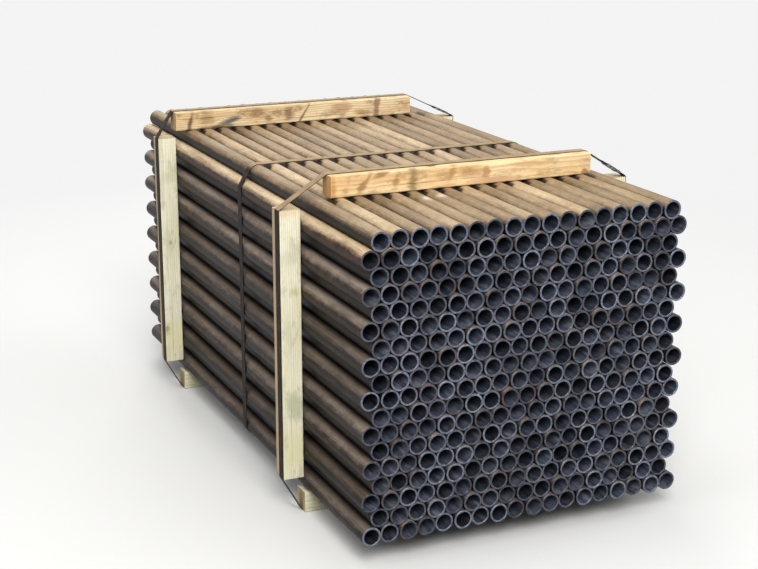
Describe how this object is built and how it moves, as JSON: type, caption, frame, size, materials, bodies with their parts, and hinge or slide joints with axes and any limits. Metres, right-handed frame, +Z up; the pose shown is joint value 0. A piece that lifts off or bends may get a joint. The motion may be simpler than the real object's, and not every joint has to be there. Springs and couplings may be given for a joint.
{
  "type": "bundle of steel pipes",
  "caption": "Strapped bundle of short round steel pipes nested in staggered rows, with square timbers above, below and at the sides.",
  "frame": {"origin": "on the floor under the middle of the bundle", "axes": "+Y along the pipes, away from the end that the picture shows; +X across the bundle; +Z up"},
  "size_m": [0.6852, 1.2252, 0.6073],
  "materials": {
    "pipe_steel": "mill scale with rust and dust",
    "timber": "rough sawn softwood",
    "strap_steel": "dull steel strapping with light rust"
  },
  "bodies": {
    "root": {"pipe_row_01": "pipe_steel", "pipe_row_02": "pipe_steel", "pipe_row_03": "pipe_steel", "pipe_row_04": "pipe_steel", "pipe_row_05": "pipe_steel", "pipe_row_06": "pipe_steel", "pipe_row_07": "pipe_steel", "pipe_row_08": "pipe_steel", "pipe_row_09": "pipe_steel", "pipe_row_10": "pipe_steel", "pipe_row_11": "pipe_steel", "pipe_row_12": "pipe_steel", "pipe_row_13": "pipe_steel", "pipe_row_14": "pipe_steel", "pipe_row_15": "pipe_steel", "pipe_row_16": "pipe_steel", "pipe_row_17": "pipe_steel", "pipe_row_18": "pipe_steel", "front_top_board": "timber", "front_bottom_board": "timber", "front_left_board": "timber", "front_right_board": "timber", "rear_top_board": "timber", "rear_bottom_board": "timber", "rear_left_board": "timber", "rear_right_board": "timber", "front_strap": "strap_steel", "middle_strap": "strap_steel", "rear_strap": "strap_steel", "front_strap_seal": "strap_steel", "middle_strap_seal": "strap_steel", "rear_strap_seal": "strap_steel"}
  },
  "joints": []
}
